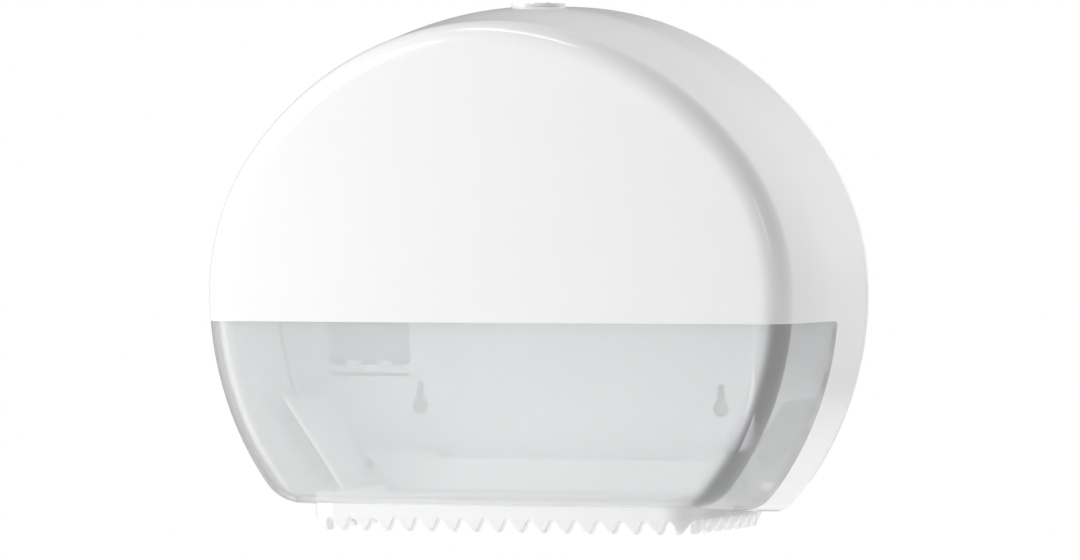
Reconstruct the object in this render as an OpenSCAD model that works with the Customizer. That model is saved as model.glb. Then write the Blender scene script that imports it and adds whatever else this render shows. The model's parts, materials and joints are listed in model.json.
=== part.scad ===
/* [Cover] */
// Width of the cover across its rear edge
cover_w = 345; // [336:1:352]
// Distance from the wall to the middle of the front face
cover_depth = 121; // [118:1:130]
// Height of the crown above the bottom edge
crown_h = 271.5; // [268:0.5:276]
// Height of the widest line above the bottom edge
widest_h = 118.4; // [115:0.2:120]
// Angle up the side at which the shoulder arc passes into the crown arc
shoulder_turn = 32; // [26:0.5:40]
// Radius of the bottom corners at the rear edge
rear_corner_r = 14; // [12:1:18]
// Radius of the bottom corners where the front rounding starts
front_corner_r = 28; // [22:1:30]
// How far the sides draw in up to where the front rounding starts
side_draft = 4.5; // [3:0.5:6]
// How far the crown drops on top of that up to where the front rounding starts
crown_drop = 3.5; // [2:0.5:5]
// How far the bottom edge rises evenly up to where the front rounding starts
bottom_rise = 6; // [5:0.5:8]
// Radius of the rounding between the walls and the front face
front_round = 14; // [10:1:18]
// Radius of the rounding along the bottom of the front face
bottom_round = 6; // [5:0.5:10]
// Radius of the front face's sideways bow
bow_r = 1720; // [1200:20:3000]
// Wall of the cover
wall = 2.5; // [2:0.1:3]
// Height of the seam between the opaque top and the window
seam_h = 103.5; // [96:0.5:110]
// Width of the opaque strip along each side, measured from the wall
strip_w = 46; // [36:1:60]
// Radius of the window's upper rear corner
window_upper_r = 3; // [2:0.5:6]
// Radius of the window's lower rear corner
window_lower_r = 14; // [8:1:18]

/* [Back plate] */
// Height of the wall screws above the cover's bottom edge
screw_line_h = 66; // [62:1:72]
// Thickness of the plate against the wall
plate_t = 2.5; // [2:0.1:3]
// How far the plate's edge stays inside the cover's rear edge
plate_inset = 0.2; // [0.2:0.1:2]
// Gap seen between the plate and the cover's rear edge
joint_gap = 0.9; // [0.5:0.1:1.2]
// Gap between the locating flange and the inside of the cover
flange_gap = 1.5; // [1.3:0.1:2.5]
// Thickness of the locating flange
flange_t = 2; // [1.6:0.1:2.5]
// How far the locating flange stands off the plate
flange_depth = 8; // [5:0.5:10]
// Height at which the locating flange starts
flange_from_h = 34; // [32:1:44]
// Distance from the middle to each wall screw
screw_x = 88.2; // [84:0.1:94]
// Radius of the round end of a keyhole
keyhole_r = 4.75; // [4.5:0.05:5.5]
// Half the width of a keyhole's slot
keyslot_r = 2.15; // [2:0.05:2.6]
// Distance from a keyhole's round end up to its screw seat
keyslot_len = 11; // [9:0.5:14]
// Radius of the upper fixing holes
fixing_r = 2.75; // [2.25:0.05:3]
// Height of the upper fixing holes
fixing_h = 215; // [205:1:225]

/* [Accessory seat] */
// Distance from the cover's widest line in to the seat's near edge
seat_from_side = 78.5; // [76:0.5:80]
// Width of the seat
seat_w = 49; // [46:0.5:50]
// Height of the seat's lower edge
seat_low_h = 77; // [75:0.5:80]
// Height of the seat's upper edge
seat_top_h = 129; // [126:0.5:134]
// Radius of the seat's corners
seat_r = 3; // [2:0.5:5]
// Width of each snap tab
tab_w = 8.4; // [7:0.2:10]
// Height of each snap tab
tab_h = 2.4; // [2:0.1:3]
// Distance between the middles of the snap tabs
tab_pitch = 18.2; // [16:0.2:22]
// Width of the slit that lets the snap edge spring
slit_h = 1.9; // [1.5:0.1:2.4]
// Strip of plate between the slit and the seat
slit_strip = 4.4; // [3.5:0.1:6]

/* [Outlet] */
// How far the tear skirt's side stays inside the start of the cover's bottom corner
skirt_side_gap = 0.2; // [0.1:0.1:3]
// How far the middle of the skirt's front stays behind the front face
skirt_set_back = 14.5; // [14:0.5:20]
// Wall of the tear skirt
skirt_t = 4.5; // [3.5:0.1:5]
// Radius of the skirt's corners
skirt_corner_r = 18; // [16:0.5:20]
// How far the teeth lean in at their tips
skirt_lean = 3.6; // [2:0.1:4.5]
// Height at which the skirt meets the frame above it
skirt_top_h = 10; // [9.5:0.5:12]
// Distance from the cover's bottom edge down to the tooth tips
tip_drop = 8.5; // [7:0.5:10]
// Height of the teeth
tooth_h = 6.8; // [5:0.2:8]
// Distance from tooth to tooth along the front
tooth_pitch = 13; // [12:0.1:14]
// Distance from the first tooth of each side to the second
side_pitch = 17.1; // [16:0.1:18]
// How much closer together each next pair of teeth on a side is
side_pitch_step = 1.3; // [1:0.1:1.5]
// Gaps between the teeth of each side
side_teeth = 6; // [4:1:6]
// Width of the flange that joins skirt and frame
flange_w = 6.5; // [6:0.5:8]
// Thickness of each of those flanges
frame_t = 2.5; // [2:0.1:3]
// Height of the raised base along the wall
base_h = 27; // [24:1:32]
// How far the raised base stands off the wall
base_y = 14; // [12:0.5:16]
// Height of the ledge beside the raised base
ledge_h = 31; // [29:0.5:33]
// How far the ledge reaches beyond the skirt
ledge_spread = 21; // [18:0.5:23]
// Height of the funnel wings
wing_h = 61; // [50:1:64]
// How far the funnel wings spread beyond the skirt
wing_spread = 34.5; // [28:0.5:38]
// Depth of the funnel wings from the wall
wing_y = 57; // [50:1:64]

/* [Hinge] */
// Distance from the wall to the hinge axis
hinge_y = 14; // [13:0.5:15]
// Height of the hinge axis
hinge_h = 6.5; // [6:0.1:7]
// Radius of the hinge pins
pin_r = 2.2; // [1.8:0.1:2.4]
// Wall of the bush around each pin
bush_t = 1.5; // [1:0.1:1.8]
// Radius of the cover's hinge lugs
lug_r = 5.2; // [5:0.1:5.4]
// Width of the cover's hinge lugs
lug_w = 6; // [5:0.5:7]

/* [Roll spindle] */
// Height of the spindle axis
spindle_h = 140; // [136:1:146]
// Radius of the fixed post
post_r = 8; // [7:0.5:9]
// Radius of the turning hub that carries the roll's core
hub_r = 22; // [20:0.5:24]
// Length of the hub
hub_len = 90; // [84:1:91]
// Wall of the hub
hub_t = 2.5; // [2:0.1:3]
// Radius of the disc behind the roll
disc_r = 34; // [30:1:36]
// Radius of the screw circle on the post's foot
foot_pcr = 20; // [19.5:0.5:21]
// Radius of the post's foot
foot_r = 26; // [25:0.5:28]
// Height of the boss under the foot
boss_y = 5.5; // [4:0.5:7]
// Thickness of the friction washer
washer_t = 3.5; // [3:0.1:4]
// How far the friction washer reaches beyond the post
washer_rim = 7; // [5:0.5:9]

/* [Stub spindle] */
// Distance from the cover's widest line in to the stub spindle
stub_from_side = 46.5; // [44:0.5:50]
// Height of the stub spindle
stub_h = 120; // [117:1:122]
// Radius of the stub peg
peg_r = 7; // [6:0.5:8]
// Radius of the turning sleeve on the peg
sleeve_r = 15; // [12:0.5:16]
// Length of the sleeve
sleeve_len = 88; // [80:1:90]

/* [Lock] */
// Distance from the wall to the lock
lock_y = 43; // [40:0.5:46]
// How far the lock's seat is cut into the crown
land_drop = 0.9; // [0.8:0.1:1.4]
// Radius of the boss below that seat
land_r = 16; // [15.7:0.1:17]
// Radius of the lock's face
lock_face_r = 14.4; // [13:0.1:15]
// Radius of the lock's barrel
barrel_r = 11; // [10:0.1:11.5]
// Length of the lock's barrel below the land
barrel_len = 23; // [20:0.5:24]
// Radius of the key cylinder
key_r = 6; // [5:0.1:7]
// Reach of the locking cam
cam_len = 24; // [22:0.5:26]
// Width of the locking cam
cam_w = 9; // [7:0.5:10]
// Thickness of the locking cam
cam_t = 2.5; // [2:0.1:3]
// Thickness of the steel strike
strike_t = 2; // [1.5:0.1:2.5]

/* [Hidden] */
$fn = 96;

// Clearances
running = 0.05;    // radius to radius, where one turns in or is pushed into the other
near = 0.3;        // face to face, where two pieces nearly touch
swing = 3;         // between the skirt and the cover that swings past it
sharp = 0.02;      // cutters reach this far past what they cut

// Screws
flat_head_t = 1.1;
screw_r = 2;
head_r = 3.5;
head_t = 2.2;
small_screw_r = 1.5;
small_head_r = 3;
small_head_t = 2;

// Outline, worked out so that its arcs meet without a corner
half_w = cover_w / 2;
rise = crown_h - widest_h;
shoulder_x = (half_w - rise) / (1 + tan(shoulder_turn) - 1 / cos(shoulder_turn));
shoulder_r = half_w - shoulder_x;
rear_y = plate_t + joint_gap;
// Slope of the sides where the front rounding takes over from them
draft_turn = atan2(2 * side_draft, cover_depth - front_round - strip_w);
round_y = cover_depth - front_round * (1 - sin(draft_turn));

// Steps in each stretch of the outline, and in the front rounding and face
corner_steps = 4;
lower_steps = 7;
shoulder_steps = 5;
crown_steps = 8;
wall_steps = 3;
round_steps = 4;
face_columns = 6;
skirt_corner_steps = 6;
skirt_front_steps = 8;
fine = 3;

// Everything that follows from the cover
skirt_x = sqrt(pow(half_w - side_draft - front_corner_r, 2) - pow(widest_h - bottom_rise - front_corner_r, 2))
          - skirt_side_gap;
skirt_y = cover_depth - skirt_set_back;
skirt_end_y = plate_t + 2 * near;
lean_from_h = 0.5;
front_teeth = 2 * round((skirt_x - skirt_corner_r) / tooth_pitch) + 1;
seat_near_x = half_w - seat_from_side;
stub_x = half_w - stub_from_side;
lip_y = skirt_y + swing;
opening_x = skirt_x + swing;
flange_inset = wall + flange_gap;
post_foot_y = plate_t + boss_y;
foot_t = 3;
washer_y = post_foot_y + foot_t;
hub_y = washer_y + washer_t + 2 * running;
hub_end_y = hub_y + hub_len;
hub_web = 6;
bush_r = post_r + running + 3;
cap_over = 1.4;
cap_t = 3;
bracket_t = 1.8;
seat_depth = 1;
bracket_lap = 3;
bracket_lap_h = seam_h + 4;
sleeve_y = plate_t + bracket_t + 4;
sleeve_end_y = sleeve_y + sleeve_len;
ear_t = 6;
ear_x = skirt_x - skirt_t - 2 * near - ear_t;
lug_x = opening_x + 1;
clip_t = 0.8;
pin_head_r = pin_r + 1.6;
bush_outer_r = pin_r + running + bush_t;
inner_x = skirt_x - skirt_t - flange_w;
notch_h = hinge_h + 9;
land_h = crown_h - land_drop;
barrel_low_h = land_h - barrel_len;
cam_high_h = barrel_low_h - near;
cam_low_h = cam_high_h - cam_t;
tail_r = key_r - 2.5;
tail_low_h = cam_low_h - running;
arm_high_h = cam_low_h - small_head_t - 2 * near;
arm_x = barrel_r + 2;
arm_w = cam_len - barrel_r - 1;
hook_y = lock_y + cam_w / 2 + 2;
hook_h = arm_high_h + small_head_t + cam_t + 2;
strike_foot_h = 18;
strike_foot_w = 20;

// Height above the cover's bottom edge, as a height above the wall screws
function lift(h) = h - screw_line_h;

// Points of an arc about [x, h], without the last one
function arc(x, h, r, from, to, steps) =
    [for (i = [0:steps - 1]) let (a = from + (to - from) * i / steps) [x + r * cos(a), h + r * sin(a)]];

// Right half of the outline: drawn in by inset, with its crown lowered, its bottom at
// bottom and its corner of radius corner
function half_outline(inset, drop, bottom, corner, k) =
    let (r = half_w - inset,
         corner_x = sqrt(pow(r - corner, 2) - pow(widest_h - bottom - corner, 2)),
         turn = atan2(bottom + corner - widest_h, corner_x),
         top_h = crown_h - inset - drop,
         sh_r = shoulder_r - inset - drop / 2,
         sh_x = r - sh_r,
         sh_rise = top_h - widest_h,
         c_r = (pow(sh_x, 2) + pow(sh_rise, 2) - pow(sh_r, 2)) / (2 * (sh_rise - sh_r)),
         c_h = top_h - c_r,
         side = c_r > sh_r ? 1 : -1,
         c_turn = atan2(side * (widest_h - c_h), side * sh_x))
    concat(arc(corner_x, bottom + corner, corner, -90, turn, corner_steps * k),
           arc(0, widest_h, r, turn, 0, lower_steps * k),
           arc(sh_x, widest_h, sh_r, 0, c_turn, shoulder_steps * k),
           arc(0, c_h, c_r, c_turn, 90, crown_steps * k));

// Whole outline, from the right bottom corner over the crown to the left one and back
function outline(inset, drop, bottom, corner, k = 1) =
    let (half = half_outline(inset, drop, bottom, corner, k), m = face_columns)
    concat(half, [[0, crown_h - inset - drop]], [for (i = [len(half) - 1:-1:0]) [-half[i][0], half[i][1]]],
           [for (i = [m - 1:-1:1]) [half[0][0] * (1 - 2 * i / m), bottom]]);

// One ring of the cover's skin: [inset, drop, bottom, corner, distance from the wall, bow].
// In front of the strip the sides draw in more and more, and the rest changes smoothly
function wall_ring(skin, y) =
    let (t = y < strip_w ? 0 : (y - strip_w) / (round_y - strip_w), ease = t * t * (3 - 2 * t))
    [side_draft * t * t + skin, crown_drop * ease, bottom_rise * (y - rear_y) / (round_y - rear_y) + skin,
     rear_corner_r + (front_corner_r - rear_corner_r) * ease - skin, y, ease];
function round_ring(skin, turn) =
    let (r = front_round - skin, done = 1 - cos(turn) / cos(draft_turn))
    [side_draft + front_round * cos(draft_turn) - r * cos(turn), crown_drop,
     bottom_rise + skin + (bottom_round - skin) * done,
     front_corner_r - skin - (front_corner_r - rear_corner_r) * done,
     round_y - front_round * sin(draft_turn) + r * sin(turn), 1];
function bowed(y, x, share) = -y + share * pow(x, 2) / (2 * bow_r);
function ring_points(ring) =
    [for (p = outline(ring[0], ring[1], ring[2], ring[3])) [p[0], bowed(ring[4], p[0], ring[5]), lift(p[1])]];

// The cover's wall: an outer and an inner skin, joined by a rim around the rear
function skin_rings(skin) =
    concat([for (y = [rear_y, strip_w]) wall_ring(skin, y)],
           [for (i = [1:wall_steps - 1]) wall_ring(skin, strip_w + (round_y - strip_w) * i / wall_steps)],
           [for (i = [0:round_steps]) round_ring(skin, draft_turn + (90 - draft_turn) * i / round_steps)]);
function skin_points(skin) =
    let (rings = skin_rings(skin), last = len(rings) - 1, edge = ring_points(rings[last]),
         m = face_columns, rows = (len(edge) - m) / 2)
    concat([for (ring = rings) each ring_points(ring)],
           [for (j = [1:rows - 1]) for (k = [1:m - 1])
            let (x = edge[j][0] * (1 - 2 * k / m)) [x, bowed(rings[last][4], x, 1), edge[j][2]]]);
module cover_wall() {
    m = face_columns;
    n = len(ring_points(wall_ring(0, rear_y)));
    last = round_steps + wall_steps + 1;
    rows = (n - m) / 2;
    outer = skin_points(0);
    inner = skin_points(wall);
    shift = len(outer);
    function at(j, k) = k == 0 ? last * n + j
                      : k == m ? last * n + 2 * rows - j
                      : j == 0 ? last * n + n - k
                      : (last + 1) * n + (j - 1) * (m - 1) + k - 1;
    bands = [for (r = [0:last - 1]) for (i = [0:n - 1])
             let (a = r * n + i, b = r * n + (i + 1) % n) each [[a, a + n, b], [b, a + n, b + n]]];
    face = [for (j = [0:rows - 2]) for (k = [0:m - 1])
            each [[at(j, k), at(j, k + 1), at(j + 1, k)], [at(j + 1, k), at(j, k + 1), at(j + 1, k + 1)]]];
    top = [for (k = [0:m - 1]) [at(rows - 1, k), at(rows - 1, k + 1), last * n + rows]];
    skin = concat(bands, face, top);
    rim = [for (i = [0:n - 1]) let (j = (i + 1) % n)
           each [[i, j, i + shift], [j, j + shift, i + shift]]];
    polyhedron(concat(outer, inner),
               concat(skin, [for (f = skin) [f[0] + shift, f[2] + shift, f[1] + shift]], rim), convexity = 6);
}

// A flat shape drawn across the wall, standing off it from y by depth
module off_wall(y, depth) {
    translate([0, -y, 0]) rotate([90, 0, 0]) linear_extrude(depth) children();
}
// A round bar standing off the wall
module bar(x, h, y, depth, r) {
    translate([x, -y, lift(h)]) rotate([90, 0, 0]) cylinder(h = depth, r = r);
}
// A round bar lying along X
module cross_bar(x, y, h, length, r) {
    translate([x, -y, lift(h)]) rotate([0, 90, 0]) cylinder(h = length, r = r);
}
// A round bar standing up
module upright(x, y, h, length, r) {
    translate([x, -y, lift(h)]) cylinder(h = length, r = r);
}
// A box given by its ranges: across, off the wall and up
module block(x, y, h) {
    translate([x[0], -y[1], lift(h[0])]) cube([x[1] - x[0], y[1] - y[0], h[1] - h[0]]);
}
module both_sides() {
    children();
    mirror([1, 0, 0]) children();
}
module rounded_rect(x, h, r) {
    translate([x[0] + r, h[0]]) square([x[1] - x[0] - 2 * r, h[1] - h[0]]);
    translate([x[0], h[0] + r]) square([x[1] - x[0], h[1] - h[0] - 2 * r]);
    for (cx = [x[0] + r, x[1] - r])
        for (ch = [h[0] + r, h[1] - r])
            translate([cx, ch]) circle(r);
}
// Pan-head screw along -Y: its head's seat at y, its shank reaching length towards the wall
module wall_screw(x, h, y, length, r, big_r, big_t) {
    bar(x, h, y - length, length + sharp, r);
    difference() {
        bar(x, h, y, big_t, big_r);
        bar(x, h, y + big_t / 2, big_t, big_r / 2);
    }
}

// Where the frame, the base and the strike are screwed down
frame_screw_x = [-skirt_x + 16.5, -40, 40, skirt_x - 16.5];
frame_screw_h = (skirt_top_h + base_h) / 2;
strike_screw_x = [arm_x + 3.5, arm_x + strike_foot_w - 5.5];
strike_screw_h = arm_high_h - strike_foot_h / 2 - 1;
strike_foot_x = [arm_x - 1, arm_x - 1 + strike_foot_w];
foot_turns = [90, 210, 330];
frame_screw_len = 9.5;
stub_screw_x = [-seat_near_x + bracket_lap / 2 - 5.5, -seat_near_x - seat_w - bracket_lap / 2 + 5.5];
stub_screw_h = seat_top_h + 4.5;
skirt_screw_spots = [[60, skirt_y - skirt_t - flange_w / 2 - 1], [inner_x + flange_w / 2, 50]];

module back_plate() {
    color("whitesmoke") difference() {
        union() {
            off_wall(0, plate_t) translate([0, lift(0)])
                polygon(outline(plate_inset, 0, plate_inset, rear_corner_r - plate_inset, fine));
            off_wall(plate_t, flange_depth) translate([0, lift(0)]) intersection() {
                difference() {
                    polygon(outline(flange_inset, 0, flange_inset, rear_corner_r, fine));
                    polygon(outline(flange_inset + flange_t, 0, flange_inset + flange_t, rear_corner_r, fine));
                }
                translate([-cover_w, flange_from_h]) square([2 * cover_w, crown_h]);
            }
            bar(0, spindle_h, plate_t, boss_y, foot_r + 2);
        }
        // Room for the cover's bottom corners as they swing past
        both_sides() block([skirt_x, half_w], [-1, plate_t + 1], [-1, notch_h]);
        both_sides() keyhole();
        both_sides() bar(screw_x, fixing_h, -1, plate_t + 2, fixing_r);
        accessory_seat();
        for (x = frame_screw_x) {
            bar(x, frame_screw_h, -1, plate_t + 2, screw_r + running);
            bar(x, frame_screw_h, -1, 1 + near + flat_head_t, head_r + near);
        }
        for (x = strike_screw_x) bar(x, strike_screw_h, -1, plate_t + 2, small_screw_r + running);
        for (x = stub_screw_x) bar(x, stub_screw_h, -1, plate_t + 2, small_screw_r + running);
        for (a = foot_turns) foot_hole(a, plate_t, boss_y + 1);
    }
}
module keyhole() {
    bar(screw_x, screw_line_h - keyslot_len, -1, plate_t + 2, keyhole_r);
    bar(screw_x, screw_line_h, -1, plate_t + 2, keyslot_r);
    block([screw_x - keyslot_r, screw_x + keyslot_r], [-1, plate_t + 1],
          [screw_line_h - keyslot_len, screw_line_h]);
}
// Opening for the stub spindle's bracket, with two snap tabs above a slit
module accessory_seat() {
    mid_x = -seat_near_x - seat_w / 2;
    off_wall(-1, plate_t + 2) translate([0, lift(0)]) difference() {
        rounded_rect([-seat_near_x - seat_w, -seat_near_x], [seat_low_h, seat_top_h], seat_r);
        for (side = [-1, 1])
            translate([mid_x + side * tab_pitch / 2 - tab_w / 2, seat_low_h - 1]) square([tab_w, tab_h + 1]);
    }
    block([mid_x - seat_w / 2 + 1, mid_x + seat_w / 2 - 1], [-1, plate_t + 1],
          [seat_low_h - slit_strip - slit_h, seat_low_h - slit_strip]);
}
module foot_hole(turn, y, depth) {
    bar(foot_pcr * cos(turn), spindle_h + foot_pcr * sin(turn), y, depth, screw_r + running);
}

// Plan of the skirt and the frame, drawn in by inset: its front is bowed and its corners round
module outlet_plan(inset, rear) {
    x = skirt_x - inset;
    y = skirt_y - inset;
    r = max(skirt_corner_r - inset, 2);
    side_y = y - pow(x - r, 2) / (2 * bow_r);
    translate([-x, -side_y + r]) square([2 * x, side_y - r - rear]);
    intersection() {
        translate([-x + r, -y]) square([2 * x - 2 * r, y - rear]);
        translate([0, bow_r - y]) circle(bow_r, $fn = 1440);
    }
    for (s = [-1, 1]) translate([s * (x - r), -side_y + r]) circle(r);
}
module outlet_ring(h, height, inset, rear) {
    translate([0, 0, lift(h)]) linear_extrude(height) difference() {
        outlet_plan(0, rear);
        outlet_plan(inset, -1);
    }
}

module outlet_frame() {
    color("white") difference() {
        union() {
            outlet_ring(skirt_top_h, frame_t, skirt_t + flange_w, base_y - 1);
            block([-skirt_x, skirt_x], [plate_t, base_y], [skirt_top_h, base_h]);
            both_sides() block([skirt_x - 2 * skirt_corner_r, skirt_x + ledge_spread], [plate_t, base_y - 2],
                               [base_h - 1, ledge_h]);
            both_sides() block([ear_x, ear_x + ear_t], [plate_t, hinge_y + lug_r], [hinge_h, skirt_top_h + 1]);
            both_sides() block([ear_x, ear_x + ear_t], [plate_t, hinge_y], [hinge_h - lug_r, skirt_top_h]);
            both_sides() cross_bar(ear_x, hinge_y, hinge_h, ear_t, lug_r);
            both_sides() funnel_wing();
        }
        both_sides() cross_bar(ear_x - 1, hinge_y, hinge_h, ear_t + 2, pin_r + running);
        // Room for the cover's rear edge as it comes up past the wings
        both_sides() block([skirt_x, lug_x + lug_w], [plate_t - 1, hinge_y + 1], [0, hinge_h + hinge_y - 1.5]);
        // Room for the heads of the hinge pins
        both_sides() cross_bar(ear_x - 3, hinge_y, hinge_h, 3, pin_head_r + near);
        for (x = frame_screw_x) bar(x, frame_screw_h, plate_t - 1, frame_screw_len, screw_r + running);
        both_sides() for (s = skirt_screw_spots)
            upright(s[0], s[1], skirt_top_h - 1, frame_t + 2, small_screw_r + running);
    }
}
module funnel_wing() {
    foot_h = skirt_top_h + frame_t - 0.5;
    off_wall(plate_t, wing_y - plate_t) translate([0, lift(0)])
        polygon([[skirt_x - frame_t, foot_h], [skirt_x, foot_h],
                 [skirt_x + wing_spread, wing_h], [skirt_x + wing_spread - frame_t, wing_h]]);
}

// Path of the skirt's wall from its left rear end to its right one, drawn in by inset
function skirt_path(inset) =
    let (cx = skirt_x - skirt_corner_r,
         cy = skirt_y - pow(cx, 2) / (2 * bow_r) - skirt_corner_r,
         r = skirt_corner_r - inset,
         n = skirt_corner_steps,
         m = skirt_front_steps,
         right = concat([for (i = [1:n - 1]) let (a = 90 * i / n) [cx + r * sin(a), -cy - r * cos(a)]],
                        [[cx + r, -cy], [cx + r, -skirt_end_y]]))
    concat([for (i = [len(right) - 1:-1:0]) [-right[i][0], right[i][1]]],
           [for (i = [0:m]) let (x = cx * (2 * i / m - 1)) [x, inset - skirt_y + pow(x, 2) / (2 * bow_r)]],
           right);
// Wall and flange of the skirt: upright above, leaning in more and more towards the tips
module skirt_wall() {
    levels = [[skirt_top_h, 0], [skirt_top_h - frame_t, 0], [lean_from_h, 0], [lean_from_h - 3, 0.2 * skirt_lean],
              [lean_from_h - 6, 0.6 * skirt_lean], [-tip_drop, skirt_lean]];
    last = len(levels) - 1;
    section = concat(levels, [for (j = [last:-1:1]) [levels[j][0], levels[j][1] + skirt_t]],
                     [[skirt_top_h - frame_t, skirt_t + flange_w], [skirt_top_h, skirt_t + flange_w]]);
    n = len(skirt_path(0));
    m = len(section);
    points = [for (q = section) for (p = skirt_path(q[1])) [p[0], p[1], lift(q[0])]];
    sides = [for (j = [0:m - 1]) for (i = [0:n - 2]) let (a = j * n + i, b = (j + 1) % m * n + i)
             each [[a, b, a + 1], [a + 1, b, b + 1]]];
    caps = concat([[m - 1, m - 2, m - 3, 1, 0]],
                  [for (j = [1:last - 1]) [m - 2 - j, m - 3 - j, j + 1, j]]);
    ends = [for (f = caps) each [[for (k = f) k * n], [for (k = [len(f) - 1:-1:0]) f[k] * n + n - 1]]];
    polyhedron(points, concat(sides, ends), convexity = 8);
}

// Gap between two teeth, with its middle at 0: round at its top and at the tips beside it
module tooth_gap(pitch) {
    steps = 12;
    mid = tooth_h / 2 - tip_drop;
    polygon(concat([for (i = [0:steps]) let (s = pitch * (i / steps - 0.5))
                    [s, mid + tooth_h / 2 * cos(360 * s / pitch)]],
                   [[pitch / 2, -tip_drop - 2], [-pitch / 2, -tip_drop - 2]]));
}
module tear_skirt() {
    corner_x = skirt_x - skirt_corner_r;
    corner_y = skirt_y - pow(corner_x, 2) / (2 * bow_r) - skirt_corner_r;
    last_front = front_teeth / 2 * tooth_pitch + tooth_pitch / 2;
    corner_from = asin((last_front - corner_x) / skirt_corner_r);
    corner_turn = (corner_from + 90) / 2;
    color("white") difference() {
        skirt_wall();
        // Front teeth
        for (i = [0:front_teeth])
            translate([tooth_pitch * (i - front_teeth / 2), -corner_y + 2, lift(0)])
                rotate([90, 0, 0]) linear_extrude(skirt_corner_r + 8) tooth_gap(tooth_pitch);
        both_sides() {
            // Gap in the corner
            translate([corner_x, -corner_y, lift(0)]) rotate([0, 0, corner_turn - 90])
                rotate([90, 0, 90]) linear_extrude(skirt_corner_r + 4)
                    tooth_gap(2 * skirt_corner_r * sin(90 - corner_turn));
            // Side teeth
            for (i = [0:side_teeth - 1])
                let (pitch = side_pitch - i * side_pitch_step,
                     from = corner_y - i * side_pitch + i * (i - 1) / 2 * side_pitch_step)
                translate([corner_x, -from + pitch / 2, lift(0)])
                    rotate([90, 0, 90]) linear_extrude(skirt_corner_r + 4) tooth_gap(pitch);
            // Room for the hinge ears beside the wall
            block([inner_x - 1, skirt_x - skirt_t - near], [0, hinge_y + lug_r + 1],
                  [skirt_top_h - frame_t - 1, skirt_top_h + 1]);
            cross_bar(corner_x, hinge_y, hinge_h, skirt_corner_r + 4, pin_r + near);
            for (s = skirt_screw_spots)
                upright(s[0], s[1], skirt_top_h - frame_t - 1, frame_t + 2, small_screw_r + running);
        }
    }
}
module skirt_screws() {
    color("silver") both_sides() for (s = skirt_screw_spots) difference() {
        union() {
            upright(s[0], s[1], skirt_top_h - frame_t - sharp, 2 * frame_t - near, small_screw_r);
            upright(s[0], s[1], skirt_top_h - frame_t - small_head_t, small_head_t, small_head_r);
        }
        upright(s[0], s[1], skirt_top_h - frame_t - 1.5 * small_head_t, small_head_t, small_head_r / 2);
    }
}
module frame_screws() {
    color("silver") for (x = frame_screw_x) difference() {
        union() {
            bar(x, frame_screw_h, near, flat_head_t, head_r);
            bar(x, frame_screw_h, near + flat_head_t - sharp, frame_screw_len, screw_r);
        }
        bar(x, frame_screw_h, near - 1, 1 + flat_head_t / 2, head_r / 2);
    }
}

module hinge_pins() {
    color("silver") both_sides() {
        cross_bar(ear_x - 1, hinge_y, hinge_h, lug_x + lug_w + 2 * clip_t + near - ear_x + 1, pin_r);
        cross_bar(ear_x - 2, hinge_y, hinge_h, 2, pin_head_r);
    }
}
module pin_clips() {
    color("dimgray") both_sides() difference() {
        cross_bar(lug_x + lug_w + near, hinge_y, hinge_h, clip_t, pin_r + 0.6);
        cross_bar(lug_x + lug_w - 1, hinge_y, hinge_h, clip_t + 2 + near, pin_r + running);
    }
}

module spindle_post() {
    color("silver") difference() {
        union() {
            bar(0, spindle_h, post_foot_y, foot_t, foot_r);
            bar(0, spindle_h, washer_y - sharp, hub_end_y - washer_y + cap_over, post_r);
        }
        for (a = foot_turns) foot_hole(a, post_foot_y - 1, foot_t + 2);
    }
}
module spindle_screws() {
    color("silver") for (a = foot_turns)
        wall_screw(foot_pcr * cos(a), spindle_h + foot_pcr * sin(a), washer_y, foot_t + boss_y - near,
                   screw_r, head_r, head_t);
}
module friction_washer() {
    color("dimgray") difference() {
        bar(0, spindle_h, washer_y, washer_t, post_r + washer_rim);
        bar(0, spindle_h, washer_y - 1, washer_t + 2, post_r + near);
    }
}
// Push-on cap over the end of a post or peg
module end_cap(x, h, y, over, r) {
    difference() {
        bar(x, h, y + near, over + cap_t - near, r + 3.5);
        bar(x, h, y - 1, over + 1 + running, r + running);
    }
}
module hub_retainer() {
    color("gray") end_cap(0, spindle_h, hub_end_y, cap_over, post_r);
}
module spindle_hub() {
    color("lightgray") difference() {
        union() {
            bar(0, spindle_h, hub_y, hub_len, hub_r);
            bar(0, spindle_h, hub_y, hub_t, disc_r);
        }
        bar(0, spindle_h, hub_y + hub_web, hub_len - 2 * hub_web, hub_r - hub_t);
        bar(0, spindle_h, hub_y - 1, hub_len + 2, bush_r + running);
    }
}
module hub_bushes() {
    color("ivory") for (y = [hub_y, hub_end_y - hub_web]) difference() {
        bar(0, spindle_h, y, hub_web, bush_r);
        bar(0, spindle_h, y - 1, hub_web + 2, post_r + running);
    }
}

module stub_bracket() {
    color("gainsboro") difference() {
        union() {
            off_wall(near, plate_t - near - seat_depth) translate([0, lift(0)])
                rounded_rect([-seat_near_x - seat_w + near, -seat_near_x - near],
                             [seat_low_h + tab_h + near, seat_top_h - near], seat_r);
            off_wall(near, plate_t - near + sharp) translate([0, lift(0)])
                rounded_rect([-seat_near_x - seat_w + near, -seat_near_x - near],
                             [bracket_lap_h, seat_top_h - near], seat_r);
            off_wall(plate_t, bracket_t) translate([0, lift(0)])
                rounded_rect([-seat_near_x - seat_w - bracket_lap, -seat_near_x + bracket_lap],
                             [bracket_lap_h, seat_top_h + 9], seat_r);
            bar(-stub_x, stub_h, plate_t, bracket_t + 4 - near, peg_r + 3);
            bar(-stub_x, stub_h, plate_t, sleeve_end_y - plate_t + cap_over, peg_r);
        }
        for (x = stub_screw_x) bar(x, stub_screw_h, plate_t - 1, bracket_t + 2, small_screw_r + running);
    }
}
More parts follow.
